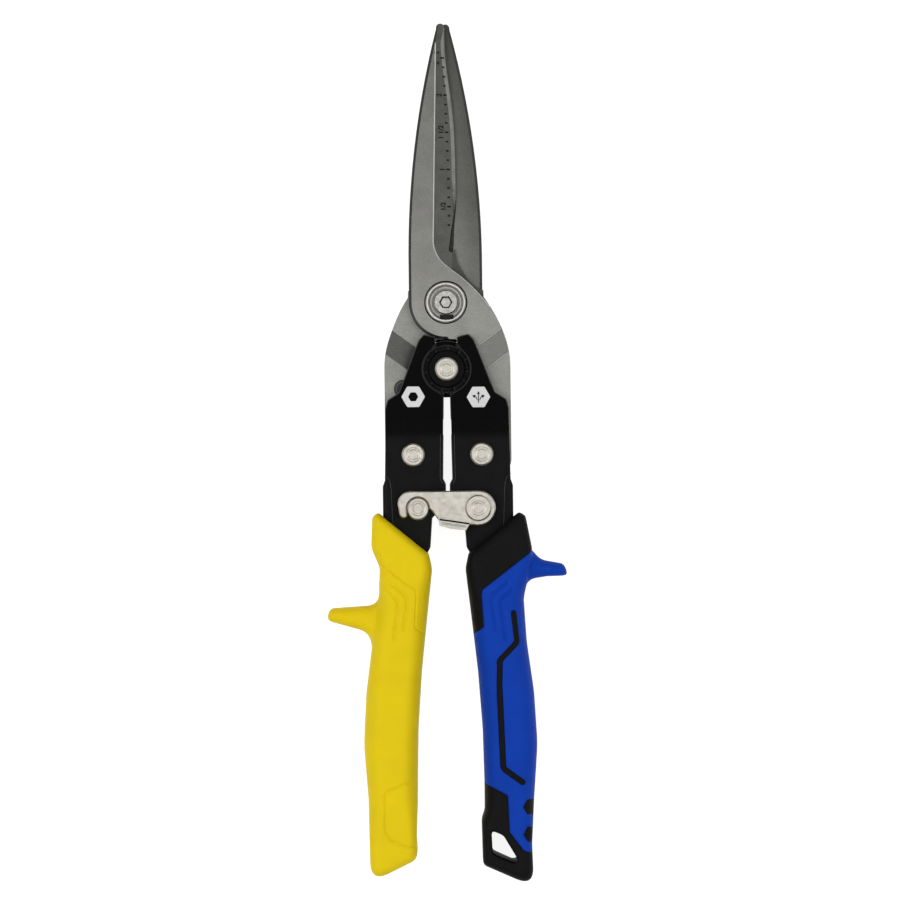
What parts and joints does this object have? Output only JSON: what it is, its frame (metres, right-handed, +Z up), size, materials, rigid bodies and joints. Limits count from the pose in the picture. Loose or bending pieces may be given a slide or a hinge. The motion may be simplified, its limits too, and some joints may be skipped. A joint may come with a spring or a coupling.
{
  "type": "aviation snips",
  "caption": "Long-cut compound-leverage tin snips with moulded grips, a spring-opened handle pair and a swinging lock latch, lying shut.",
  "frame": {"origin": "under the middle of the tool's box, on the surface it lies on", "axes": "+Y from the grips to the blade tips, +X to the blue-gripped handle's side, +Z up from the surface, out of the front blade's face"},
  "size_m": [0.0824, 0.2927, 0.022],
  "materials": {
    "blade_steel": "bead-blasted forged steel, ground bevel",
    "bright_steel": "bright machined steel",
    "nickel": "nickel-plated, satin",
    "spring_steel": "oiled spring wire",
    "black_cover": "black, low sheen",
    "black_enamel": "black enamel, satin",
    "black_shell": "hard moulded plastic, fine texture",
    "yellow_shell": "hard moulded plastic, fine texture",
    "yellow_soft": "soft moulded elastomer, matt",
    "blue_soft": "soft moulded elastomer, matt"
  },
  "bodies": {
    "right_handle": {"right_handle_frame": "black_enamel", "right_grip_base": "black_shell", "right_grip_cover": "blue_soft", "right_link_rivet": "nickel", "handle_rivet": "nickel", "pivot_cover_front": "black_cover", "pivot_cover_back": "black_cover", "handle_spring": "spring_steel", "latch_rivet": "nickel", "latch_spacer": "bright_steel"},
    "left_handle": {"left_handle_frame": "black_enamel", "left_grip_base": "yellow_shell", "left_grip_cover": "yellow_soft", "left_link_rivet": "nickel", "catch_stud": "nickel"},
    "front_blade": {"front_blade": "blade_steel", "pivot_bolt": "bright_steel", "pivot_cup_washer": "bright_steel", "pivot_back_washer": "bright_steel", "pivot_nut": "bright_steel"},
    "back_blade": {"back_blade": "blade_steel"},
    "latch": {"latch": "nickel"}
  },
  "joints": [
    {"name": "handle_pivot", "type": "hinge", "parent": "right_handle", "child": "left_handle", "pos_m": [0, 0.0284, 0.011], "axis": [0, 0, -1], "range_deg": [0, 34], "deforming": ["handle_spring"]},
    {"name": "front_blade_link", "type": "hinge", "parent": "right_handle", "child": "front_blade", "pos_m": [0.0117, -0.0008, 0.011], "axis": [0, 0, -1], "range_deg": [0, 7.86]},
    {"name": "main_pivot", "type": "hinge", "parent": "front_blade", "child": "back_blade", "pos_m": [0, 0.0512, 0.011], "axis": [0, 0, -1], "range_deg": [0, 18.26]},
    {"name": "latch_pivot", "type": "hinge", "parent": "right_handle", "child": "latch", "pos_m": [0.0103, -0.0192, 0.0164], "axis": [0, 0, -1], "range_deg": [0, 80]}
  ],
  "couplings": [
    {"joint": "front_blade_link", "follows": "handle_pivot", "ratio": 0.231},
    {"joint": "main_pivot", "follows": "handle_pivot", "ratio": 0.537}
  ]
}
